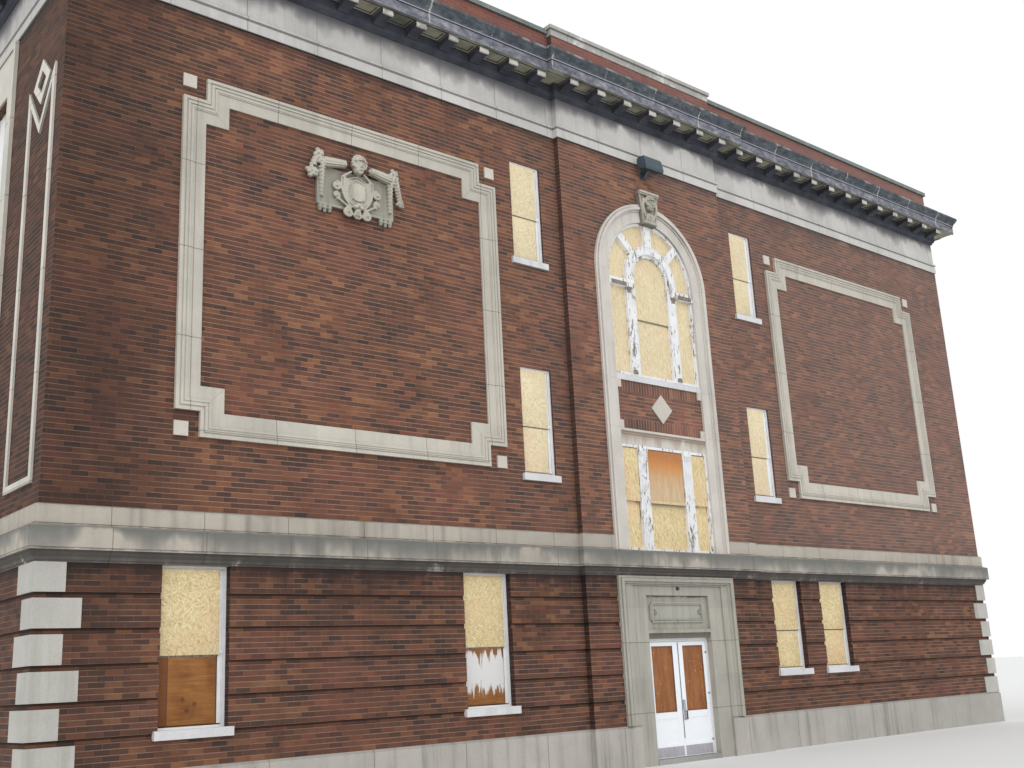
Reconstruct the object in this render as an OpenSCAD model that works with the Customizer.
// School building: the brick and limestone end block of a three storey school.
// The front faces -Y, X runs to the right along it and Z is up from the ground.
// The origin lies under the middle of the whole building's box.

/* [Plan] */
// Width of the front between its brick corners
front_w = 22400; // [20400:100:24000]
// Thickness of every outer wall
wall_t = 450; // [380:10:560]
// Brick face at each corner before the first tall window frame
corner_pier = 1850; // [1800:50:2400]
// Distance from one side bay to the next
bay_pitch = 4400; // [4200:50:4800]
// Number of bays on each long side
side_bays = 6; // [3:1:7]
// Number of bays on the back
back_bays = 4; // [2:1:4]
// Half width of the centre pavilion
pavilion_half = 2270; // [2050:10:2500]
// How far the pavilion stands forward of the front
pavilion_out = 115; // [80:5:160]

/* [Levels] */
// Height of the stone plinth
plinth_h = 680; // [500:10:800]
// Height of one brick course with its joint
course_h = 71.5; // [68:0.5:75]
// Bands of brick in the ground storey
ground_bands = 6; // [6:1:6]
// Courses in one band, between two sunk courses
band_courses = 5; // [5:1:5]
// Height of the moulding under the belt course
belt_bed_h = 140; // [100:5:180]
// Height of the deep band of the belt course
belt_band_h = 310; // [250:5:360]
// Height of the plain upper band of the belt course
belt_upper_h = 260; // [200:5:320]
// Height from floor to floor
storey_h = 3850; // [3800:10:3900]
// Level of the ground floor and of the door sill
floor_z = 80; // [60:5:120]
// Thickness of a floor
floor_t = 300; // [200:10:340]

/* [Entablature] */
// Height of the architrave
architrave_h = 240; // [200:5:280]
// Height of the plain frieze
frieze_h = 560; // [450:10:640]
// Height of the moulding under the brackets
bed_h = 95; // [80:5:120]
// Height of a bracket
bracket_h = 175; // [150:5:200]
// Width of a bracket
bracket_w = 200; // [160:5:240]
// Distance that a bracket's front stays behind the soffit slab's face
bracket_set = 40; // [20:5:80]
// Distance between brackets
bracket_pitch = 675; // [600:5:760]
// Brackets on the pavilion
pavilion_brackets = 7; // [5:2:7]
// Distance that the flat soffit slab reaches out
corona_out = 450; // [420:10:500]
// Height of the soffit slab
corona_h = 190; // [160:5:220]
// Distance that the whole cornice reaches out
cornice_out = 550; // [520:10:600]
// Height of the curved top moulding
cyma_h = 220; // [190:5:250]
// Rise of the cornice's sloped top
wash_h = 40; // [20:5:60]
// Thickness of the parapet
parapet_t = 330; // [250:10:400]
// Height of the brick parapet
parapet_h = 680; // [580:5:850]
// Height of the coping stones
coping_h = 120; // [90:5:160]
// Distance that the coping reaches past the brick
coping_out = 45; // [30:5:70]
// Height of the tall coping on the pavilion
pavilion_cap_h = 235; // [200:5:270]
// How much the pavilion coping stands above the others
pavilion_cap_rise = 60; // [40:5:100]

/* [Stone frames on the front] */
// Width over the eared frame
panel_w = 5734; // [5200:2:6000]
// Height of the eared frame
panel_h = 5356; // [5000:2:5600]
// Height of the frame's lower edge above the belt course
panel_z = 1000; // [800:10:1100]
// Distance that the frame stands off the middle of its wing, towards the pavilion
panel_shift = 70; // [0:5:150]
// Size of the step at each corner, which is also the width of the frame's stone
panel_step = 356; // [300:2:400]
// Distance from the top of the left frame to the middle of the carved shield
shield_drop = 1160; // [1050:10:1250]
// Side of the small square stones
accent_w = 200; // [150:5:240]
// Distance that flat stone trim stands proud of the brick
trim_out = 30; // [20:5:40]

/* [Front windows] */
// Width of a small window opening
small_window_w = 700; // [600:10:800]
// Height of a small window opening
small_window_h = 1865; // [1700:5:1950]
// Distance from the pavilion's edge to the middle of the small windows
small_window_off = 770; // [700:5:850]
// Sill of the lower small windows above the belt course
small_window_z = 955; // [850:5:1050]
// Width of a ground storey window opening
ground_window_w = 940; // [800:10:1000]
// Sill level of the ground storey windows on the left
low_sill_z = 1135; // [1000:5:1300]
// Sill level of the ground storey windows on the right
high_sill_z = 1460; // [1350:5:1600]
// Distance from the left corner to the middle of the first window
first_window_off = 2050; // [1800:10:2400]
// Distance from the pavilion's left edge to the middle of the second window
second_window_off = 2035; // [1700:5:2300]
// Distance from the pavilion's right edge to the middle of the third window
third_window_off = 1100; // [900:10:1300]
// Distance from the third window to the fourth
window_pair_pitch = 1575; // [1300:5:1900]
// Height of a stone sill
sill_h = 115; // [80:5:140]
// Distance that a sill stands proud of the wall
sill_out = 55; // [30:5:80]
// Distance that a sill runs into the brick at each end
sill_lug = 62; // [40:2:80]
// Depth of the reveal in front of a window frame
reveal = 110; // [80:5:150]
// Depth of the reveal in front of the small windows' frames
small_reveal = 40; // [20:5:90]
// Depth of a window frame in front of its boards
frame_t = 45; // [40:5:60]
// Width of a window frame's side
frame_w = 48; // [40:2:70]
// Height of the meeting rail, as a share of the window
rail_share = 0.46; // [0.42:0.01:0.54]
// Thickness of the boards that close the windows
board_t = 18; // [12:1:24]

/* [Pavilion opening] */
// Half width of the opening between the stone jambs
arch_r = 1165; // [1100:5:1250]
// Half width over the stone jambs, for the arch and for the doorway
surround_r = 1530; // [1450:5:1600]
// Height of the arch's springing above the belt course, in storeys
spring_storeys = 1.299; // [1.27:0.001:1.32]
// Depth of the stone jambs in the wall
surround_t = 200; // [150:5:260]
// Distance that the outer roll of the jambs stands proud
surround_out = 70; // [50:5:90]
// Distance from the pavilion face to the window frames
window_set = 30; // [10:5:60]
// Radius of the middle light's round head
centre_light_r = 456; // [420:2:480]
// Width of the painted ring round the middle light
centre_ring_w = 234; // [210:2:250]
// Width of the ring's sunk inner moulding
ring_step_w = 56; // [40:2:70]
// Distance that the ring stands proud of the frame
ring_out = 28; // [20:1:35]
// Width of the outer frame of both windows
arch_frame_w = 50; // [40:2:80]
// Depth of both windows' frames in front of their boards
arch_frame_t = 65; // [50:5:90]
// Width of the slanting ribs between the ring and the outer frame
rib_w = 150; // [120:5:170]
// Width of the upright rib under the keystone
top_rib_w = 190; // [170:5:220]
// Radius of the painted columns beside the middle light
column_r = 58; // [45:1:65]
// Height of the painted entablature blocks over the columns
impost_h = 160; // [130:5:190]
// Distance from the springing down to the top of these blocks
impost_drop = 100; // [60:5:120]
// Bottom of the arched window's sill above the belt course, in storeys
arch_sill_storeys = 0.747; // [0.735:0.001:0.76]
// Height of the brick panel between the two windows
spandrel_h = 920; // [860:5:960]
// Distance from the pavilion face to the brick panel
spandrel_set = 35; // [25:5:60]
// Half of the diamond stone's width and height
diamond_r = 280; // [220:5:320]
// Height of the moulded stone over the lower window
lintel_h = 290; // [250:5:320]
// Half width of the lower window's middle light
middle_light_half = 480; // [450:2:530]
// Height of the lower window's meeting rail above the belt course
pavilion_rail_z = 665; // [600:5:740]
// Width of the painted pilasters between the lights
pilaster_w = 245; // [200:5:280]
// Width over the keystone at its top
keystone_w = 540; // [480:10:600]
// Height of the keystone
keystone_h = 690; // [640:10:760]
// Distance that the keystone hangs below the stone arch
keystone_drop = 55; // [30:5:80]

/* [Doorway] */
// Height of a door leaf
door_h = 1956; // [1900:2:2040]
// Width of a door leaf
door_w = 760; // [700:2:770]
// Thickness of a door leaf
door_t = 45; // [40:1:50]
// Gap round each leaf
door_gap = 6; // [6:1:8]
// Width of the door frame's sides
door_frame_w = 56; // [50:1:70]
// Distance from the pavilion face to the face of the leaves
door_set = 130; // [120:5:220]
// Depth of the door frame
door_frame_t = 110; // [100:5:140]
// Level of the top of the sunk panel over the doors
door_panel_top = 2850; // [2800:5:2900]
// Distance from the pavilion face to the sunk panel
door_panel_set = 68; // [55:1:110]
// Width of the bare tablet
tablet_w = 1440; // [1300:10:1500]
// Height of the bare tablet
tablet_h = 360; // [300:5:400]
// Bottom of the tablet above the ground
tablet_z = 2380; // [2340:5:2420]
// Width of the glazed part of a leaf, now boarded
lite_w = 540; // [480:5:550]
// Width of the stile beside the other leaf
meeting_stile_w = 130; // [110:5:140]
// Height of the glazed part of a leaf
lite_h = 1130; // [1000:5:1200]
// Height of the metal plate at the foot of a leaf
kick_h = 165; // [120:5:200]
// Height of the pull above the foot of its leaf
pull_z = 610; // [560:5:680]
// Length of the pull
pull_h = 165; // [140:5:220]
// Height of the lock case over the pull
lock_h = 165; // [120:5:200]
// Radius of a hinge knuckle
knuckle_r = 9; // [7:0.5:10]
// Radius of a hinge pin
pin_r = 5; // [3:0.5:5.5]
// Height of a hinge
hinge_h = 120; // [90:5:150]

/* [Side and back bays] */
// Width of a bay's window opening
bay_window_w = 3020; // [2800:20:3080]
// Width of the stone frame round a bay
bay_stone_w = 330; // [280:5:360]
// Sill of the second storey windows above the belt course
bay_low_z = 720; // [600:10:900]
// Height of the second storey windows
bay_low_h = 2470; // [2300:10:2500]
// How much lower the third storey's sills lie over their floor than the second's
bay_sill_drop = 280; // [200:10:350]
// Height of the third storey windows
bay_high_h = 2310; // [2200:10:2350]
// Half width of the middle light of a bay
bay_middle_half = 710; // [650:5:760]
// Width of a bay's mullions
bay_mullion_w = 240; // [200:5:260]
// Width of the thin stone strips on the corner piers
strip_w = 95; // [70:5:120]
// Distance from the corner to the first strip
strip_x = 290; // [240:10:340]
// Distance between the outer edges of the two strips
strip_span = 1110; // [1000:10:1160]
// Distance from the strips' points up to the architrave
strip_head = 1280; // [1200:10:1500]
// Bottom of the strips above the belt course
strip_z = 290; // [200:10:400]
// Depth of the notch between the strips' two points
strip_notch = 720; // [600:10:800]

/* [Corner stones] */
// Length of a long corner stone
quoin_long = 575; // [520:5:640]
// Length of a short corner stone
quoin_short = 370; // [320:5:420]
// Depth of a corner stone in the wall
quoin_t = 100; // [80:5:120]
// Distance that a corner stone stands proud
quoin_out = 15; // [5:1:25]
// Depth of the sunk courses
groove_d = 26; // [15:1:30]

/* [Hidden] */

// Names of the four faces, as quarter turns from the front
FRONT = 0;
RIGHT = 1;
BACK = 2;
LEFT = 3;
// Saw cut between two stones that meet at a mitre or a joint
joint = 2;
// Overshoot of a cutting shape past the solid that it cuts
eps = 1;
// Facets of the turned and arched pieces
round_fn = 64;

// Plan
side_l = 2 * corner_pier + side_bays * bay_pitch;
panel_x = (front_w / 2 + pavilion_half) / 2 - panel_shift;
small_window_x = pavilion_half + small_window_off;
ground_window_a = first_window_off - front_w / 2;
ground_window_b = -pavilion_half - second_window_off;
ground_window_c = pavilion_half + third_window_off;
ground_window_d = ground_window_c + window_pair_pitch;
front_y = (pavilion_out - side_l) / 2;
back_y = (pavilion_out + side_l) / 2;
mid_y = pavilion_out / 2;
side_wall_l = side_l - 2 * wall_t;
pavilion_y = front_y - pavilion_out;

// Levels
upper_wall_h = 2 * storey_h - floor_t;
spring_z = storey_h * spring_storeys;
arch_sill_z = storey_h * arch_sill_storeys;
bay_high_z = bay_low_z + storey_h - bay_sill_drop;
strip_top = upper_wall_h - strip_head;
ground_courses = ground_bands * band_courses + ground_bands - 1;
ground_top = plinth_h + ground_courses * course_h;
belt_h = belt_bed_h + belt_band_h + belt_upper_h;
belt_top = ground_top + belt_h;
pavilion_wall_z = belt_top - belt_upper_h;
entablature_z = belt_top + upper_wall_h;
cornice_z = entablature_z + architrave_h + frieze_h;
bracket_z = cornice_z + bed_h;
corona_z = bracket_z + bracket_h;
bracket_out = corona_out - bracket_set;
parapet_z = corona_z + corona_h + cyma_h + wash_h;
coping_z = parapet_z + parapet_h;
pavilion_cap_z = coping_z + coping_h + pavilion_cap_rise - pavilion_cap_h;
roof_z = cornice_z - floor_t;

// Profiles: each point is [distance out from the wall face, height above the piece's foot]
plinth_profile = [[30, 0], [30, plinth_h - 35], [0, plinth_h]];
belt_profile = [
    [12, 0], [12, 30], [38, 30], [45, 62], [70, 92], [82, belt_bed_h],
    [130, belt_bed_h], [130, belt_bed_h + belt_band_h - 30], [50, belt_bed_h + belt_band_h],
    [50, belt_h - 18], [0, belt_h]
];
architrave_profile = [
    [24, 0], [24, architrave_h - 82], [8, architrave_h - 82], [8, architrave_h - 62],
    [40, architrave_h - 40], [40, architrave_h], [0, architrave_h], [0, architrave_h + frieze_h]
];
cornice_profile = [
    [14, 0], [14, bed_h * 0.2], [30, bed_h * 0.36], [62, bed_h * 0.6], [78, bed_h * 0.86], [86, bed_h],
    [86, bed_h + bracket_h], [corona_out - 30, bed_h + bracket_h], [corona_out - 30, bed_h + bracket_h - 14],
    [corona_out, bed_h + bracket_h - 14], [corona_out, bed_h + bracket_h + corona_h],
    [corona_out + 14, bed_h + bracket_h + corona_h], [corona_out + 20, bed_h + bracket_h + corona_h + cyma_h * 0.26],
    [cornice_out - 32, bed_h + bracket_h + corona_h + cyma_h * 0.54],
    [cornice_out - 10, bed_h + bracket_h + corona_h + cyma_h * 0.74],
    [cornice_out, bed_h + bracket_h + corona_h + cyma_h * 0.77], [cornice_out, bed_h + bracket_h + corona_h + cyma_h],
    [0, bed_h + bracket_h + corona_h + cyma_h + wash_h]
];
coping_profile = [[coping_out, 0], [coping_out, coping_h - 25], [0, coping_h]];
cap_profile = [
    [12, 0], [12, pavilion_cap_h - 110], [coping_out, pavilion_cap_h - 95],
    [coping_out, pavilion_cap_h - 20], [0, pavilion_cap_h]
];
// Raised parts of the jambs: [outer edge, inner edge, distance out], edges measured from the outside
surround_rings = [[0, 150, 34], [0, 46, 44], [54, 112, surround_out]];

// Brick, stone and timber colours
brick = [0.43, 0.27, 0.23];
limestone = [0.74, 0.72, 0.66];
weathered = [0.38, 0.39, 0.38];
paint = [0.88, 0.88, 0.87];
strand_board = [0.86, 0.78, 0.55];
plywood = [0.55, 0.31, 0.13];
concrete = [0.62, 0.61, 0.58];

// Puts children on one face: local X along it, -Y outwards, Y = 0 on the brick
module facade(side) {
    across = side % 2 == 0 ? side_l / 2 : front_w / 2;
    translate([0, mid_y, 0]) rotate(90 * side) translate([0, -across, 0]) children();
}

// Draws children upright on a face, from local y = back to the given distance out
module upright(out, back = 0) {
    translate([0, back, 0]) rotate([90, 0, 0]) linear_extrude(out + back) children();
}

// Box on a face: x is its middle, y0 and y1 its front and back
module face_box(x, z, w, h, y0, y1) {
    translate([x - w / 2, y0, z]) cube([w, y1 - y0, h]);
}

function mirrored(half, profile) = concat(
    [for (p = profile) [half + p[0], p[1]]],
    [for (i = [len(profile) - 1 : -1 : 0]) [-half - profile[i][0], profile[i][1]]]
);

// Block with the same moulding on all four sides, mitred at its corners
module moulded_block(half_x, half_y, profile) {
    reach = 1000;
    intersection() {
        rotate([90, 0, 0]) linear_extrude(2 * (half_y + reach), center = true)
            polygon(mirrored(half_x, profile));
        rotate([90, 0, 90]) linear_extrude(2 * (half_x + reach), center = true)
            polygon(mirrored(half_y, profile));
    }
}

// Moulding round the pavilion, back to the inner face of the front wall
module pavilion_block(profile, z, h, grow = 0, depth = wall_t) {
    half_y = (depth + pavilion_out) / 2 + grow;
    intersection() {
        translate([0, pavilion_y + (depth + pavilion_out) / 2, z])
            moulded_block(pavilion_half + grow, half_y, profile);
        translate([-front_w, -side_l, z - eps]) cube([2 * front_w, front_y + depth + side_l + grow, h + 2 * eps]);
    }
}

// Moulded run round the whole building, sawn at the corners and coped to the pavilion
module moulded_ring(profile, z, h, depth = wall_t) {
    difference() {
        translate([0, mid_y, z]) moulded_block(front_w / 2, side_l / 2, profile);
        translate([depth - front_w / 2, front_y + depth, z - eps])
            cube([front_w - 2 * depth, side_l - 2 * depth, h + 2 * eps]);
        pavilion_block(profile, z, h, joint, depth);
        corner_cuts(z, h);
    }
}

// Saw cuts on the building's four mitres
module corner_cuts(z, h) {
    reach = 4000;
    for (sx = [-1, 1], sy = [-1, 1])
        translate([sx * front_w / 2, mid_y + sy * side_l / 2, z - eps]) rotate(sx * sy * 45)
            translate([-reach / 2, -joint / 2, 0]) cube([reach, joint, h + 2 * eps]);
}

// Sunk courses on a stretch of ground storey wall
module grooves(x0, x1, y = 0) {
    for (i = [1 : ground_bands - 1])
        translate([x0 - eps, y - eps, plinth_h + (i * (band_courses + 1) - 1) * course_h])
            cube([x1 - x0 + 2 * eps, groove_d + eps, course_h]);
}

// Six alternating stones at one corner; the turn puts the corner at the local origin
module quoin_stack(grow = 0) {
    for (i = [0 : ground_bands - 1]) {
        front_l = i % 2 == 0 ? quoin_long : quoin_short;
        side_l = i % 2 == 0 ? quoin_short : quoin_long;
        translate([0, 0, plinth_h + i * (band_courses + 1) * course_h]) difference() {
            translate([-quoin_out, -quoin_out, 0])
                cube([front_l + quoin_out, side_l + quoin_out, band_courses * course_h]);
            translate([quoin_t + grow, quoin_t + grow, -eps])
                cube([quoin_long, quoin_long, band_courses * course_h + 2 * eps]);
        }
    }
}

module all_quoins() {
    for (sx = [0, 1], sy = [0, 1])
        translate([0, mid_y, 0]) mirror([sx, 0, 0]) mirror([0, sy, 0])
            translate([-front_w / 2, -side_l / 2, 0]) quoin_stack();
}

// Ground storey wall on one stretch of a face, without its openings
module ground_wall(x0, x1) {
    difference() {
        translate([x0, 0, plinth_h]) cube([x1 - x0, wall_t, ground_top - plinth_h]);
        grooves(x0, x1);
        // Sunk courses return on the end faces that show at the building's corners
        for (s = [-1, 1], i = [1 : ground_bands - 1])
            face_box(s * front_w / 2, plinth_h + (i * (band_courses + 1) - 1) * course_h,
                2 * groove_d, course_h, -eps, wall_t + eps);
    }
}

module ground_opening(x, z, w) {
    face_box(x, z, w, ground_top - z + eps, -eps, wall_t + eps);
}

// Slot for a sill that runs into the brick past the opening
module sill_slot(x, z, w, set = reveal) {
    face_box(x, z - sill_h, w + 2 * sill_lug, sill_h, -eps, set + frame_t);
}

function bay_x(n, i, pitch) = (i - (n - 1) / 2) * pitch;
back_pitch = (front_w - 2 * corner_pier) / back_bays;
function bays_on(side) = side == BACK ? back_bays : side_bays;
function pitch_on(side) = side == BACK ? back_pitch : bay_pitch;

module each_bay(side) {
    for (i = [0 : bays_on(side) - 1]) translate([bay_x(bays_on(side), i, pitch_on(side)), 0, 0]) children();
}

module plinth() {
    doorway = 2 * jamb_half;
    color(limestone) difference() {
        union() {
            moulded_ring(plinth_profile, 0, plinth_h);
            pavilion_block(plinth_profile, 0, plinth_h);
        }
        translate([-doorway / 2, front_y - side_l / 4, -eps]) cube([doorway, side_l / 2, plinth_h + 2 * eps]);
    }
}

module ground_wall_front_left() {
    color(brick) difference() {
        facade(FRONT) difference() {
            ground_wall(-front_w / 2, -pavilion_half);
            for (x = [ground_window_a, ground_window_b]) {
                ground_opening(x, low_sill_z, ground_window_w);
                sill_slot(x, low_sill_z, ground_window_w);
            }
        }
        all_quoins();
    }
}

module ground_wall_front_right() {
    color(brick) difference() {
        facade(FRONT) difference() {
            ground_wall(pavilion_half, front_w / 2);
            for (x = [ground_window_c, ground_window_d]) {
                ground_opening(x, high_sill_z, ground_window_w);
                sill_slot(x, high_sill_z, ground_window_w);
            }
        }
        all_quoins();
    }
}

// Two brick piers, one on each side of the door surround
module ground_wall_pavilion() {
    w = pavilion_half - surround_r;
    color(brick) facade(FRONT) for (s = [-1, 1]) difference() {
        face_box(s * (surround_r + w / 2), plinth_h, w, ground_top - plinth_h, -pavilion_out, wall_t);
        grooves(s * (surround_r + w / 2) - w / 2, s * (surround_r + w / 2) + w / 2, -pavilion_out);
        // The sunk courses return on the pavilion's side
        for (i = [1 : ground_bands - 1])
            face_box(s * pavilion_half, plinth_h + (i * (band_courses + 1) - 1) * course_h,
                2 * groove_d, course_h, -pavilion_out - eps, groove_d);
    }
}

module ground_wall_side(side) {
    l = side == BACK ? front_w : side_wall_l;
    difference() {
        facade(side) difference() {
            ground_wall(-l / 2, l / 2);
            each_bay(side) {
                ground_opening(0, low_sill_z, bay_window_w);
                sill_slot(0, low_sill_z, bay_window_w);
            }
        }
        all_quoins();
    }
}

module ground_wall_left() { color(brick) ground_wall_side(LEFT); }
module ground_wall_right() { color(brick) ground_wall_side(RIGHT); }
module ground_wall_back() { color(brick) ground_wall_side(BACK); }
module corner_quoins() { color(limestone) all_quoins(); }

module belt_course() {
    color(limestone) {
        moulded_ring(belt_profile, ground_top, belt_h);
        difference() {
            pavilion_block(belt_profile, ground_top, belt_h);
            // The upper band stops against the jambs of the tall opening
            facade(FRONT) {
                face_box(0, pavilion_wall_z, 2 * surround_r + joint, belt_upper_h + eps,
                    -pavilion_out - wall_t, surround_t - pavilion_out);
                face_box(0, pavilion_wall_z, 2 * arch_r, belt_upper_h + eps, 0, wall_t + eps);
            }
        }
    }
}

module upper_wall_front(side) {
    color(brick) facade(FRONT) difference() {
        translate([side > 0 ? pavilion_half : -front_w / 2, 0, belt_top])
            cube([front_w / 2 - pavilion_half, wall_t, upper_wall_h]);
        for (z = [small_window_z, small_window_z + storey_h]) {
            face_box(side * small_window_x, belt_top + z, small_window_w, small_window_h, -eps, wall_t + eps);
            sill_slot(side * small_window_x, belt_top + z, small_window_w, small_reveal);
        }
    }
}

module upper_wall_front_left() { upper_wall_front(-1); }
module upper_wall_front_right() { upper_wall_front(1); }

// Outline of the tall arched opening at half width r, from the belt course up
module arch_outline(r, z0) {
    translate([-r, z0]) square([2 * r, belt_top + spring_z - z0]);
    translate([0, belt_top + spring_z]) circle(r, $fn = round_fn);
}

module pavilion_wall() {
    color(brick) facade(FRONT) difference() {
        face_box(0, belt_top, 2 * pavilion_half, upper_wall_h, -pavilion_out, wall_t);
        translate([0, wall_t + eps, 0]) upright(wall_t + pavilion_out + 2 * eps)
            arch_outline(arch_r, belt_top - eps);
        translate([0, surround_t - pavilion_out, 0]) upright(surround_t + eps)
            arch_outline(surround_r, belt_top - eps);
        keystone_wedge(60);
    }
}

module upper_wall_side(side) {
    l = side == BACK ? front_w : side_wall_l;
    facade(side) difference() {
        translate([-l / 2, 0, belt_top]) cube([l, wall_t, upper_wall_h]);
        each_bay(side) {
            for (w = [[bay_low_z, bay_low_h], [bay_high_z, bay_high_h]])
                face_box(0, belt_top + w[0], bay_window_w, w[1], -eps, wall_t + eps);
            for (z = [bay_low_z, bay_high_z])
                face_box(0, belt_top + z - sill_h, bay_window_w, sill_h + eps, -eps, reveal + frame_t);
        }
    }
}

module upper_wall_left() { color(brick) upper_wall_side(LEFT); }
module upper_wall_right() { color(brick) upper_wall_side(RIGHT); }
module upper_wall_back() { color(brick) upper_wall_side(BACK); }

module architrave_and_frieze() {
    color(limestone) {
        moulded_ring(architrave_profile, entablature_z, architrave_h + frieze_h);
        pavilion_block(architrave_profile, entablature_z, architrave_h + frieze_h);
    }
}

// Scrolled bracket under the cornice, drawn from the side
module bracket() {
    out = bracket_out;
    back = 60;
    rotate([90, 0, 90]) linear_extrude(bracket_w, center = true) polygon([
        [-back, 0], [-back - 20, 0], [-back - 40, 20], [-out + 60, bracket_h * 0.42],
        [-out + 12, bracket_h * 0.34], [-out, bracket_h * 0.5], [-out, bracket_h + 5], [-back, bracket_h + 5]
    ]);
}

// Brackets along a face, spaced from both corners towards the middle
module bracket_row(side) {
    half = (side % 2 == 0 ? front_w : side_l) / 2 - 260;
    stop = side == FRONT ? pavilion_half + 300 : 0;
    pitch = side == FRONT ? bracket_pitch : half / round(half / bracket_pitch);
    n = floor((half - stop) / pitch + 0.01);
    for (s = [-1, 1], i = [0 : n])
        if (s > 0 || half - i * pitch > 1) translate([s * (half - i * pitch), 0, bracket_z]) bracket();
}

module cornice() {
    h = bed_h + bracket_h + corona_h + cyma_h + wash_h;
    pavilion_pitch = 2 * pavilion_half / (pavilion_brackets - 0.6);
    color(weathered) {
        difference() {
            union() {
                moulded_ring(cornice_profile, cornice_z, h);
                for (side = [FRONT, RIGHT, BACK, LEFT]) facade(side) bracket_row(side);
            }
            pavilion_block(cornice_profile, cornice_z, h, joint);
        }
        pavilion_block(cornice_profile, cornice_z, h);
        facade(FRONT) for (i = [0 : pavilion_brackets - 1])
            translate([(i - (pavilion_brackets - 1) / 2) * pavilion_pitch, -pavilion_out, bracket_z]) bracket();
    }
}

module parapet() {
    straight = [[0, 0], [0, parapet_h]];
    low = [[0, 0], [0, pavilion_cap_z - parapet_z]];
    color(brick) {
        difference() {
            moulded_ring(straight, parapet_z, parapet_h, parapet_t);
            pavilion_block([[coping_out, 0], [coping_out, pavilion_cap_h]], pavilion_cap_z, pavilion_cap_h,
                0, parapet_t);
        }
        pavilion_block(low, parapet_z, pavilion_cap_z - parapet_z, 0, parapet_t);
    }
}

module parapet_coping() {
    color(weathered) {
        difference() {
            moulded_ring(coping_profile, coping_z, coping_h, parapet_t + coping_out);
            pavilion_block([[coping_out, 0], [coping_out, coping_h]], coping_z, coping_h, joint, parapet_t + coping_out);
        }
        pavilion_block(cap_profile, pavilion_cap_z, pavilion_cap_h, 0, parapet_t);
    }
}

module inner_slab(z, t) {
    translate([wall_t - front_w / 2, front_y + wall_t, z]) cube([front_w - 2 * wall_t, side_wall_l, t]);
}

module roof_slab() { color(concrete) inner_slab(roof_z, floor_t); }

module floor_slabs() {
    color(concrete) {
        inner_slab(0, floor_z);
        for (i = [1, 2]) inner_slab(floor_z + i * storey_h - floor_t, floor_t);
    }
}

// Eared outline of the panel frames, moved in by the given distance
module eared(inset) {
    a = panel_w / 2 - inset;
    b = panel_h / 2 - inset;
    c = a - panel_step;
    d = b - panel_step;
    polygon([
        [c, b], [c, d], [a, d], [a, -d], [c, -d], [c, -b],
        [-c, -b], [-c, -d], [-a, -d], [-a, d], [-c, d], [-c, b]
    ]);
}

module eared_ring(outer, inner, out) {
    upright(out) difference() { eared(outer); eared(inner); }
}

module panel_frames() {
    color(limestone) facade(FRONT) for (s = [-1, 1])
        translate([s * panel_x, 0, belt_top + panel_z + panel_h / 2]) difference() {
            union() {
                eared_ring(0, panel_step, trim_out);
                eared_ring(0, 178, trim_out + 12);
                eared_ring(0, 48, trim_out + 26);
                eared_ring(70, 106, trim_out + 26);
                eared_ring(128, 158, trim_out + 20);
            }
            // The stones meet at a mitre in each corner
            for (i = [-1, 1], j = [-1, 1])
                translate([i * (panel_w / 2 - panel_step), 0, j * (panel_h / 2 - panel_step)])
                    rotate([0, -45 * i * j, 0]) cube([3 * panel_step, 4 * trim_out + 100, joint], center = true);
        }
}

module accent_blocks() {
    a = panel_w / 2 - accent_w / 2;
    b = panel_h / 2 - accent_w / 2;
    block_w = 110;
    block_h = 150;
    spandrel_z = arch_sill_z - spandrel_h;
    color(limestone) facade(FRONT) {
        for (s = [-1, 1], i = [-1, 1], j = [-1, 1])
            face_box(s * panel_x + i * a, belt_top + panel_z + panel_h / 2 + j * b - accent_w / 2,
                accent_w, accent_w, -trim_out, 0);
        translate([0, spandrel_set - pavilion_out, belt_top + spandrel_z + spandrel_h / 2]) {
            upright(trim_out) rotate(45) square(diamond_r * sqrt(2), center = true);
            for (i = [-1, 1], j = [-1, 1])
                face_box(i * (arch_r - block_w / 2 - 1), j * (spandrel_h / 2 - block_h / 2 - 1) - block_h / 2,
                    block_w, block_h, -trim_out, 0);
        }
    }
}

// Outline of the shield, with hollowed shoulders and a pointed foot
module shield_outline(grow = 0) {
    offset(delta = grow) polygon([
        [-285, 190], [-215, 150], [-120, 235], [120, 235], [215, 150], [285, 190],
        [250, 40], [265, -110], [190, -260], [0, -350], [-190, -260], [-265, -110], [-250, 40]
    ]);
}

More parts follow.
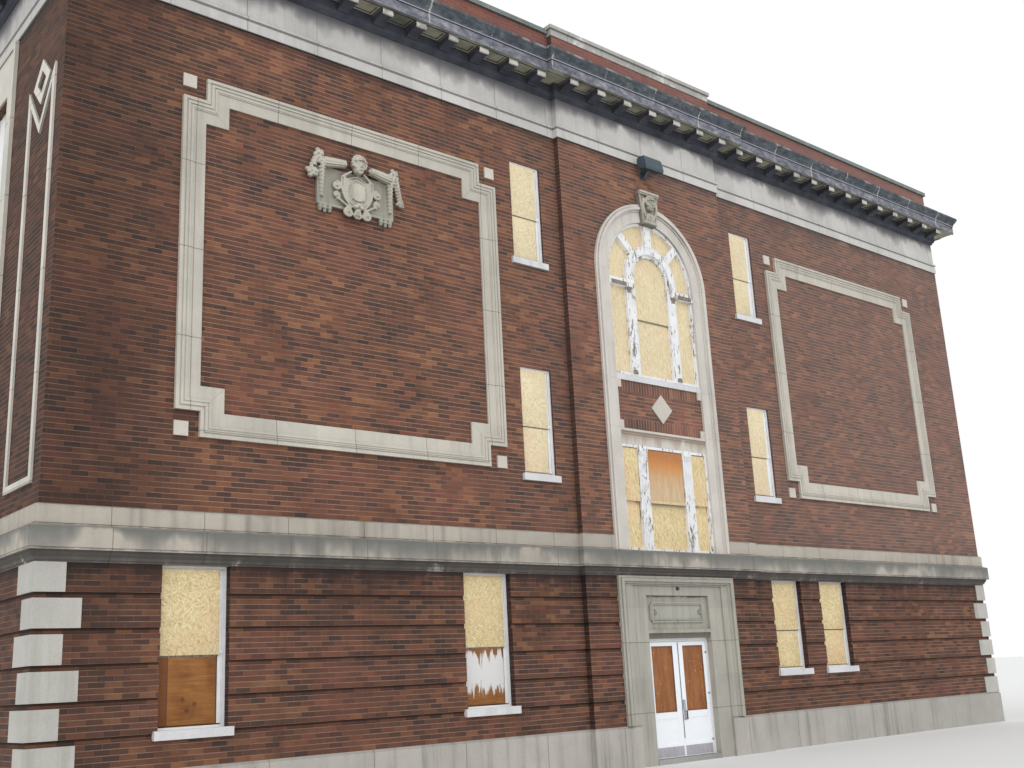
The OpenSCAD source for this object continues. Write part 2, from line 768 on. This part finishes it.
// Carved shield with its head, horns, garlands and scrolls, on a flat back plate
module cartouche() {
    plate_w = 1400;
    plate_h = 640;
    garland_l = 560;
    z = belt_top + panel_z + panel_h - shield_drop;
    color(limestone) facade(FRONT) translate([-panel_x, 0, z]) {
        upright(40) translate([-plate_w / 2, -352]) square([plate_w, plate_h]);
        upright(95) shield_outline();
        upright(130) shield_outline(-60);
        for (s = [-1, 1]) {
            // Fluted horns that lead from the head to the upper corners
            translate([s * 190, -90, 385]) rotate([0, s * 94, 0]) cylinder(r1 = 58, r2 = 86, h = 440, $fn = 24);
            // Straight garland, and the shorter one that hangs outside the plate
            translate([s * (plate_w / 2 - 70), -62, -240]) cylinder(r1 = 38, r2 = 60, h = garland_l, $fn = 20);
            translate([s * (plate_w / 2 + 65), -70, 40]) cylinder(r1 = 68, r2 = 50, h = 330, $fn = 20);
            translate([s * (plate_w / 2 - 10), -70, 395]) rotate([90, 0, 0]) cylinder(r = 92, h = 130, center = true, $fn = 24);
            // Scrolls beside and below the shield
            translate([s * 355, 0, 10]) rotate([90, 0, 0]) cylinder(r = 82, h = 120, $fn = 24);
            translate([s * 350, 0, -145]) rotate([90, 0, 0]) cylinder(r = 66, h = 105, $fn = 24);
            translate([s * 162, 0, -372]) rotate([90, 0, 0]) cylinder(r = 78, h = 100, $fn = 24);
            // Drops under the plate
            for (k = [0 : 2]) translate([s * (460 + 95 * k), -1, -385]) rotate([90, 0, 0])
                cylinder(r = 42, h = 62, $fn = 16);
        }
        translate([0, -83, -480]) cylinder(r1 = 36, r2 = 80, h = 190, $fn = 20);
        // Head over the shield
        translate([0, -20, 385]) rotate([90, 0, 0]) cylinder(r1 = 150, r2 = 95, h = 190, $fn = 32);
    }
}

// One jamb or arch moulding step, as [width, out] measured in from the outer edge
module surround_step(width, out, z0) {
    translate([0, surround_t - pavilion_out, 0]) upright(surround_t + out) difference() {
        arch_outline(surround_r, z0);
        arch_outline(surround_r - width, z0 - eps);
    }
}

// Joints between the stones of the jambs and of the arch
module surround_joints() {
    reach = 4 * surround_r;
    zs = belt_top + spring_z;
    for (z = [belt_top + arch_sill_z - spandrel_h, belt_top + arch_sill_z, zs])
        face_box(0, z, reach, joint, -side_l, wall_t);
    for (a = [45, 90, 135]) translate([0, 0, zs]) rotate([0, -a, 0])
        translate([0, -side_l, -joint / 2]) cube([reach, side_l + wall_t, joint]);
}

module arch_surround() {
    color(limestone) facade(FRONT) difference() {
        union() {
            surround_step(surround_r - arch_r, 14, pavilion_wall_z);
            for (ring = surround_rings) translate([0, -pavilion_out, 0]) upright(ring[2]) difference() {
                arch_outline(surround_r - ring[0], pavilion_wall_z);
                arch_outline(surround_r - ring[1], pavilion_wall_z - eps);
            }
        }
        keystone_wedge(60);
        surround_joints();
    }
}

// Wedge of the keystone, let into the arch and the brick over it
module keystone_wedge(back) {
    foot_z = belt_top + spring_z + arch_r - keystone_drop;
    foot = keystone_w * 0.72 / 2;
    cap_h = 80;
    half = keystone_w / 2;
    translate([0, back - pavilion_out, 0]) upright(back + 95) polygon([
        [-foot, foot_z], [foot, foot_z],
        [half - 20, foot_z + keystone_h - cap_h], [20 - half, foot_z + keystone_h - cap_h]
    ]);
    face_box(0, foot_z + keystone_h - cap_h, keystone_w, cap_h, -pavilion_out - 150, back - pavilion_out);
}

module arch_keystone() {
    foot_z = belt_top + spring_z + arch_r - keystone_drop;
    color(limestone) facade(FRONT) {
        difference() {
            keystone_wedge(60);
            // The window's frame passes behind the foot
            translate([0, window_set + surround_t - pavilion_out, 0]) upright(surround_t) arch_outline(arch_r, belt_top);
        }
        // Rolls at the head and foot of the scroll
        translate([0, -pavilion_out - 95, foot_z + keystone_h - 180]) rotate([0, 90, 0])
            cylinder(r = 70, h = keystone_w * 0.8, center = true, $fn = 24);
        translate([0, -pavilion_out - 90, foot_z + 90]) rotate([0, 90, 0])
            cylinder(r = 45, h = keystone_w * 0.62, center = true, $fn = 24);
    }
}

module arch_window_frame() {
    z0 = belt_top + arch_sill_z + sill_h;
    zs = belt_top + spring_z;
    impost_z = zs - impost_drop - impost_h;
    ring_r = centre_light_r + centre_ring_w;
    side_r = arch_r - arch_frame_w;
    column_x = ring_r - column_r * 1.3;
    color(paint) facade(FRONT) translate([0, window_set + arch_frame_t - pavilion_out, 0]) {
        // Outer frame, arched middle light and the lights beside it
        upright(arch_frame_t) difference() {
            arch_outline(arch_r, z0);
            difference() {
                arch_outline(side_r, z0 + frame_w);
                difference() {
                    arch_outline(ring_r, z0);
                    arch_outline(centre_light_r, z0 + frame_w);
                }
                translate([-arch_r, impost_z]) square([2 * arch_r, impost_h]);
                window_ribs(ring_r, side_r + 2);
            }
            translate([-centre_light_r, z0 + frame_w]) square([2 * centre_light_r, zs - z0 - frame_w + eps]);
        }
        // Proud ring and ribs
        translate([0, -arch_frame_t, 0]) {
            upright(ring_out) intersection() {
                difference() {
                    arch_outline(ring_r, impost_z);
                    arch_outline(ring_r - centre_ring_w + ring_step_w, impost_z);
                }
                translate([-ring_r, impost_z + impost_h]) square(2 * ring_r);
            }
            // The ribs stop under the keystone's foot
            upright(ring_out - 8) window_ribs(ring_r, min(side_r + 2, arch_r - keystone_drop - 3));
        }
        // Columns and entablature blocks in front of the frame
        for (s = [-1, 1]) {
            face_box(s * column_x, impost_z, 2 * (ring_r - column_x) + 40, impost_h, -arch_frame_t - 45, -arch_frame_t);
            face_box(s * (ring_r + arch_r) / 2, impost_z, arch_r - ring_r, impost_h - 25, -arch_frame_t - 30, -arch_frame_t);
            difference() {
                translate([s * column_x, column_r / 2 - arch_frame_t, z0 + frame_w])
                    cylinder(r = column_r, h = impost_z - z0 - frame_w, $fn = 24);
                face_box(s * column_x, z0, 3 * column_r, impost_z - z0, 0, 2 * column_r);
            }
        }
    }
}

// Ribs that run from the ring to the outer frame
module window_ribs(ring_r, side_r) {
    for (a = [45, 90, 135]) translate([0, belt_top + spring_z]) rotate(a) {
        w = a == 90 ? top_rib_w : rib_w;
        translate([ring_r - 20, -w / 2]) square([side_r - ring_r + 20, w]);
    }
}

module pavilion_boards() {
    y = window_set + arch_frame_t - pavilion_out;
    z0 = belt_top + arch_sill_z + sill_h;
    // Where the upper of the two middle boards ends
    edge_z = z0 + 0.58 * (belt_top + spring_z - z0);
    color(strand_board) facade(FRONT) {
        translate([0, y + board_t, 0]) upright(board_t) arch_outline(arch_r - 2, z0);
        translate([0, y + 1, 0]) upright(board_t + 1) intersection() {
            arch_outline(centre_light_r - 4, z0);
            translate([-arch_r, edge_z]) square(2 * arch_r);
        }
        face_box(0, pavilion_wall_z, 2 * arch_r - 4, arch_sill_z - spandrel_h - lintel_h + belt_upper_h, y, y + board_t);
    }
}

module spandrel_panel() {
    z = belt_top + arch_sill_z - spandrel_h;
    color(brick) facade(FRONT)
        face_box(0, z, 2 * arch_r, spandrel_h, spandrel_set - pavilion_out, wall_t);
}

module pavilion_lintel() {
    z = belt_top + arch_sill_z - spandrel_h - lintel_h;
    color(limestone) facade(FRONT) translate([0, window_set - pavilion_out, z]) {
        face_box(0, 0, 2 * arch_r, lintel_h, 0, wall_t + pavilion_out - window_set);
        face_box(0, lintel_h - 95, 2 * arch_r, 55, -14, 0);
        face_box(0, lintel_h - 55, 2 * arch_r, 55, -30, 0);
    }
}

// Painted frame with a wide middle light between two narrow ones
module three_light_frame(w, h, middle, mullion, rail_z, edge = frame_w, depth = frame_t) {
    side = w / 2 - middle - mullion - edge;
    translate([0, depth, 0]) upright(depth) difference() {
        translate([-w / 2, 0]) square([w, h]);
        translate([-middle, frame_w]) square([2 * middle, h - 2 * frame_w]);
        for (s = [-1, 1]) translate([s * (middle + mullion + side / 2) - side / 2, frame_w])
            square([side, h - 2 * frame_w]);
    }
    face_box(0, rail_z, 2 * middle, 45, depth - 31, depth);
    for (s = [-1, 1]) face_box(s * (middle + mullion + side / 2), rail_z, side, 45, depth - 31, depth);
}

module lower_window_frame() {
    h = arch_sill_z - spandrel_h - lintel_h + belt_upper_h;
    cap_h = 110;
    color(paint) facade(FRONT) translate([0, window_set - pavilion_out, pavilion_wall_z]) {
        three_light_frame(2 * arch_r, h, middle_light_half, pilaster_w, belt_upper_h + pavilion_rail_z, arch_frame_w,
            arch_frame_t);
        for (s = [-1, 1]) {
            x = s * (middle_light_half + pilaster_w / 2);
            face_box(x, 0, pilaster_w * 0.62, h - cap_h, -15, 0);
            face_box(x, h - cap_h, pilaster_w * 0.86, cap_h, -28, 0);
            face_box(x, 0, pilaster_w * 0.86, 90, -28, 0);
        }
    }
}

// Half width of the flat inner band, where the moulded jambs and the plinth stop
jamb_half = surround_r - 343;

module door_surround() {
    top_share = 0.86;
    inner_top = ground_top - (surround_r - jamb_half) * 0.44;
    color(limestone) facade(FRONT) difference() {
        union() {
            face_box(0, 0, 2 * jamb_half, ground_top, -pavilion_out + 12, wall_t);
            difference() {
                face_box(0, plinth_h, 2 * surround_r, ground_top - plinth_h, -pavilion_out - 14, wall_t);
                face_box(0, plinth_h - eps, 2 * jamb_half, inner_top - plinth_h + eps, -side_l, wall_t + eps);
            }
            for (ring = surround_rings) translate([0, -pavilion_out, 0]) upright(ring[2]) difference() {
                translate([ring[0] - surround_r, plinth_h])
                    square([2 * (surround_r - ring[0]), ground_top - ring[0] * top_share - plinth_h]);
                translate([ring[1] - surround_r, plinth_h - eps])
                    square([2 * (surround_r - ring[1]), ground_top - ring[1] * top_share - plinth_h + eps]);
            }
        }
        face_box(0, -eps, 2 * door_half, door_panel_top + eps, -side_l, wall_t + eps);
        // Joints between the jamb stones and the head stone
        for (s = [-1, 1]) face_box(s * (door_half + joint / 2), door_panel_top - eps, joint, ground_top, -side_l, wall_t + eps);
    }
}

// Half width of the doorway between the stones
door_half = door_w + door_gap * 1.5 + door_frame_w;
door_z = floor_z + door_gap + 2;
door_head_z = door_z + door_h + door_gap;
door_y = door_set - pavilion_out;

module door_lintel() {
    z = door_head_z + door_frame_w;
    y = door_panel_set - pavilion_out;
    color(limestone) facade(FRONT) {
        face_box(0, z, 2 * door_half, door_panel_top - z, y, wall_t);
        face_box(0, z, 2 * door_half, 90, y - 25, y);
        face_box(0, z + 90, 2 * door_half, 60, y - 50, y);
    }
}

module door_tablet() {
    y = door_panel_set - pavilion_out;
    ear = 46;
    color(limestone) facade(FRONT) translate([0, y, tablet_z + tablet_h / 2]) {
        upright(16) union() {
            square([tablet_w, tablet_h - 2 * ear], center = true);
            square([tablet_w - 2 * ear, tablet_h], center = true);
        }
        upright(30) difference() {
            union() {
                square([tablet_w, tablet_h - 2 * ear], center = true);
                square([tablet_w - 2 * ear, tablet_h], center = true);
            }
            square([tablet_w - 2 * ear - 60, tablet_h - 60], center = true);
        }
    }
}

module door_frame() {
    z = floor_z;
    color(paint) facade(FRONT) difference() {
        face_box(0, z, 2 * door_half, door_head_z + door_frame_w - z, door_y, door_y + door_frame_t);
        face_box(0, z - eps, 2 * (door_half - door_frame_w), door_head_z - z + eps, door_y - eps,
            door_y + door_t + door_gap);
        face_box(0, z - eps, 2 * (door_half - door_frame_w - 14), door_head_z - 14 - z + eps, -eps,
            door_y + door_frame_t + eps);
        for (s = [-1, 1]) face_box(s * (door_half - door_frame_w - 15), z, 1, door_h * 2, -side_l, wall_t);
    }
}

module door_threshold() {
    color(concrete) facade(FRONT) face_box(0, 0, 2 * door_half, floor_z, -pavilion_out, wall_t);
}

// One door leaf, drawn for the right side of the doorway
module door_leaf() {
    stile = meeting_stile_w;
    top = 70;
    color(paint) facade(FRONT) difference() {
        translate([door_gap / 2, door_y, door_z]) cube([door_w, door_t, door_h]);
        // Sunk board in place of the glass
        translate([door_gap / 2 + stile, door_y - eps, door_z + door_h - top - lite_h])
            cube([lite_w, 14 + eps, lite_h]);
        // Sunk panel under it
        translate([door_gap / 2 + stile, door_y - eps, door_z + kick_h + 60])
            cube([lite_w, 10 + eps, door_h - top - lite_h - kick_h - 170]);
    }
}

module door_leaf_left() { mirror([1, 0, 0]) door_leaf(); }
module door_leaf_right() { door_leaf(); }

// Hinge axes, in front of the gap between leaf and frame
hinge_x = door_w + door_gap;
hinge_y = door_y - knuckle_r;
hinge_levels = [180, door_h / 2, door_h - 260];

// Part of a hinge between two heights: knuckle and plate, to one side of the axis
module hinge_knuckle(z0, z1, plate) {
    translate([hinge_x, hinge_y, z0]) cylinder(r = knuckle_r, h = z1 - z0, $fn = 24);
    translate([plate > 0 ? hinge_x : hinge_x + plate, door_y - 3, z0]) cube([abs(plate), 3, z1 - z0]);
}

// Pins with the outer knuckles and their plates on the frame
module door_hinge_pins() {
    color([0.45, 0.45, 0.46]) facade(FRONT) for (m = [0, 1]) mirror([m, 0, 0]) for (level = hinge_levels)
        translate([0, 0, door_z + level]) {
            hinge_knuckle(0, hinge_h / 3, 36);
            hinge_knuckle(hinge_h * 2 / 3, hinge_h, 36);
            translate([hinge_x, hinge_y, 0]) cylinder(r = pin_r, h = hinge_h, $fn = 24);
        }
}

// Fittings that turn with the right leaf: middle knuckles, foot plate and, where wanted, a pull and a lock
module door_fittings(pull) {
    color([0.5, 0.5, 0.5]) facade(FRONT) {
        for (level = hinge_levels) translate([0, 0, door_z + level]) difference() {
            hinge_knuckle(hinge_h / 3 + 1, hinge_h * 2 / 3 - 1, -40);
            translate([hinge_x, hinge_y, 0]) cylinder(r = pin_r + 0.05, h = hinge_h, $fn = 24);
        }
        translate([door_gap / 2 + 22, door_y - 2, door_z + 12]) cube([door_w - 44, 2, kick_h]);
        if (pull) {
            x = door_gap / 2 + 68;
            translate([x - 31, door_y - 3, door_z + pull_z - 10]) cube([62, 3, pull_h + lock_h + 20]);
            translate([x - 38, door_y - 16, door_z + pull_z + pull_h + 8]) cube([45, 16, lock_h]);
            for (z = [25, pull_h - 25]) translate([x, door_y - 2, door_z + pull_z + z]) rotate([90, 0, 0])
                cylinder(r = 9, h = 50, $fn = 20);
            translate([x, door_y - 52, door_z + pull_z]) cylinder(r = 11, h = pull_h, $fn = 20);
        }
    }
}

module door_fittings_left() { mirror([1, 0, 0]) door_fittings(false); }
module door_fittings_right() { door_fittings(true); }

// Painted frame of a window with one light above another
module sash_frame(w, h) {
    translate([0, frame_t, 0]) upright(frame_t) difference() {
        translate([-w / 2, 0]) square([w, h]);
        translate([frame_w - w / 2, frame_w * 0.6]) square([w - 2 * frame_w, h - frame_w * 1.4]);
    }
    face_box(0, rail_share * h - 20, w - 2 * frame_w, 40, 14, frame_t);
}

// Front windows as [middle, sill level, width, height, depth of the reveal]
small_windows = [for (s = [-1, 1], z = [small_window_z, small_window_z + storey_h])
    [s * small_window_x, belt_top + z, small_window_w, small_window_h, small_reveal]];
ground_windows = [
    [ground_window_a, low_sill_z, ground_window_w, ground_top - low_sill_z, reveal],
    [ground_window_b, low_sill_z, ground_window_w, ground_top - low_sill_z, reveal],
    [ground_window_c, high_sill_z, ground_window_w, ground_top - high_sill_z, reveal],
    [ground_window_d, high_sill_z, ground_window_w, ground_top - high_sill_z, reveal]
];
front_windows = concat(small_windows, ground_windows);
bay_windows = [
    [low_sill_z, ground_top - low_sill_z],
    [belt_top + bay_low_z, bay_low_h],
    [belt_top + bay_high_z, bay_high_h]
];

module front_window_frames() {
    color(paint) facade(FRONT) for (w = front_windows) translate([w[0], w[4], w[1]]) sash_frame(w[2], w[3]);
}

// Low left windows, which are closed by plywood below the meeting rail
plywood_windows = [ground_windows[0], ground_windows[1]];
board_y = reveal + frame_t;

module window_boards() {
    color(strand_board) {
        facade(FRONT) {
            for (w = concat(small_windows, [ground_windows[2], ground_windows[3]]))
                face_box(w[0], w[1], w[2], w[3], w[4] + frame_t, w[4] + frame_t + board_t);
            for (w = plywood_windows)
                face_box(w[0], w[1] + rail_share * w[3], w[2], (1 - rail_share) * w[3], board_y, board_y + board_t);
        }
        for (side = [RIGHT, BACK, LEFT]) facade(side) each_bay(side)
            for (w = bay_windows) face_box(0, w[0], bay_window_w, w[1], board_y, board_y + board_t);
    }
}

module plywood_boards() {
    color(plywood) facade(FRONT)
        for (w = plywood_windows) face_box(w[0], w[1], w[2], rail_share * w[3], board_y, board_y + board_t);
}

module window_sills() {
    y = reveal + frame_t;
    color(limestone) {
        facade(FRONT) {
            for (w = front_windows)
                face_box(w[0], w[1] - sill_h, w[2] + 2 * sill_lug, sill_h, -sill_out, w[4] + frame_t);
            face_box(0, belt_top + arch_sill_z, 2 * arch_r, sill_h, window_set - 25 - pavilion_out, wall_t);
        }
        for (side = [RIGHT, BACK, LEFT]) facade(side) each_bay(side) {
            face_box(0, low_sill_z - sill_h, bay_window_w + 2 * sill_lug, sill_h, -sill_out, y);
            for (z = [bay_low_z, bay_high_z]) face_box(0, belt_top + z - sill_h, bay_window_w, sill_h, -sill_out, y);
        }
    }
}

// Tall stone frame round the two upper windows of each bay
module bay_surrounds() {
    w = bay_window_w + 2 * bay_stone_w;
    head = upper_wall_h - bay_high_z - bay_high_h;
    color(limestone) for (side = [RIGHT, BACK, LEFT]) facade(side) each_bay(side)
        translate([0, 0, belt_top]) difference() {
            union() {
                upright(trim_out) difference() {
                    translate([-w / 2, 0]) square([w, upper_wall_h]);
                    translate([-bay_window_w / 2, -eps]) square([bay_window_w, upper_wall_h - head + eps]);
                }
                upright(trim_out + 25) difference() {
                    translate([-w / 2, 0]) square([w, upper_wall_h]);
                    translate([90 - w / 2, -eps]) square([w - 180, upper_wall_h - 90 + eps]);
                }
            }
            for (s = [-1, 1]) face_box(s * bay_window_w / 2, 0, joint, upper_wall_h + eps, -side_l, eps);
        }
}

module bay_window_frames() {
    color(paint) for (side = [RIGHT, BACK, LEFT]) facade(side) each_bay(side)
        for (w = bay_windows) translate([0, reveal, w[0]])
            three_light_frame(bay_window_w, w[1], bay_middle_half, bay_mullion_w, rail_share * w[1]);
}

// Thin strips that frame the brick of a corner pier, with a notched top and a diamond
module pier_strips() {
    h = strip_top - strip_z;
    a = strip_span / 2;
    b = a - strip_w;
    upright(trim_out) difference() {
        polygon([[-a, 0], [a, 0], [a, h], [0, h - strip_notch], [-a, h]]);
        polygon([[-b, strip_w], [b, strip_w], [b, h - strip_notch * 0.36], [0, h - strip_notch - strip_w * 1.45],
            [-b, h - strip_notch * 0.36]]);
    }
    translate([0, 0, h - 60]) upright(trim_out) difference() {
        rotate(45) square(500, center = true);
        rotate(45) square(250, center = true);
    }
}

module corner_strips() {
    color(limestone) for (side = [RIGHT, BACK, LEFT]) facade(side) {
        half = side == BACK ? front_w / 2 : side_l / 2;
        for (s = [-1, 1]) translate([s * (half - strip_x - strip_span / 2), 0, belt_top + strip_z]) pier_strips();
    }
}

// Lamp housing that looks down from its arm, with cooling ribs along its back
module floodlight() {
    z = entablature_z - 200;
    w = 500;
    color([0.2, 0.2, 0.21]) facade(FRONT) translate([0, -pavilion_out, z]) {
        rotate([90, 0, 90]) linear_extrude(w, center = true)
            polygon([[-120, 60], [-330, -10], [-345, 40], [-300, 255], [-150, 285], [-105, 250]]);
        for (i = [-3 : 3]) rotate([90, 0, 90]) translate([0, 0, i * 70]) linear_extrude(14, center = true)
            polygon([[-125, 80], [-70, 110], [-85, 250], [-150, 310], [-290, 280], [-290, 240], [-110, 230]]);
        // Wall plate, arm and yoke
        face_box(0, -90, 150, 150, -25, 0);
        rotate([90, 0, 90]) linear_extrude(60, center = true)
            polygon([[0, -60], [-60, -60], [-165, 40], [-165, 90], [-115, 90], [-40, 0], [0, 0]]);
    }
}

plinth();
ground_wall_front_left();
ground_wall_front_right();
ground_wall_pavilion();
ground_wall_left();
ground_wall_right();
ground_wall_back();
corner_quoins();
belt_course();
upper_wall_front_left();
upper_wall_front_right();
pavilion_wall();
upper_wall_left();
upper_wall_right();
upper_wall_back();
architrave_and_frieze();
cornice();
parapet();
parapet_coping();
roof_slab();
floor_slabs();
panel_frames();
accent_blocks();
cartouche();
arch_surround();
arch_keystone();
arch_window_frame();
pavilion_boards();
spandrel_panel();
pavilion_lintel();
lower_window_frame();
door_surround();
door_lintel();
door_tablet();
door_frame();
door_threshold();
door_leaf_left();
door_leaf_right();
door_hinge_pins();
door_fittings_left();
door_fittings_right();
front_window_frames();
window_boards();
plywood_boards();
window_sills();
bay_surrounds();
bay_window_frames();
corner_strips();
floodlight();
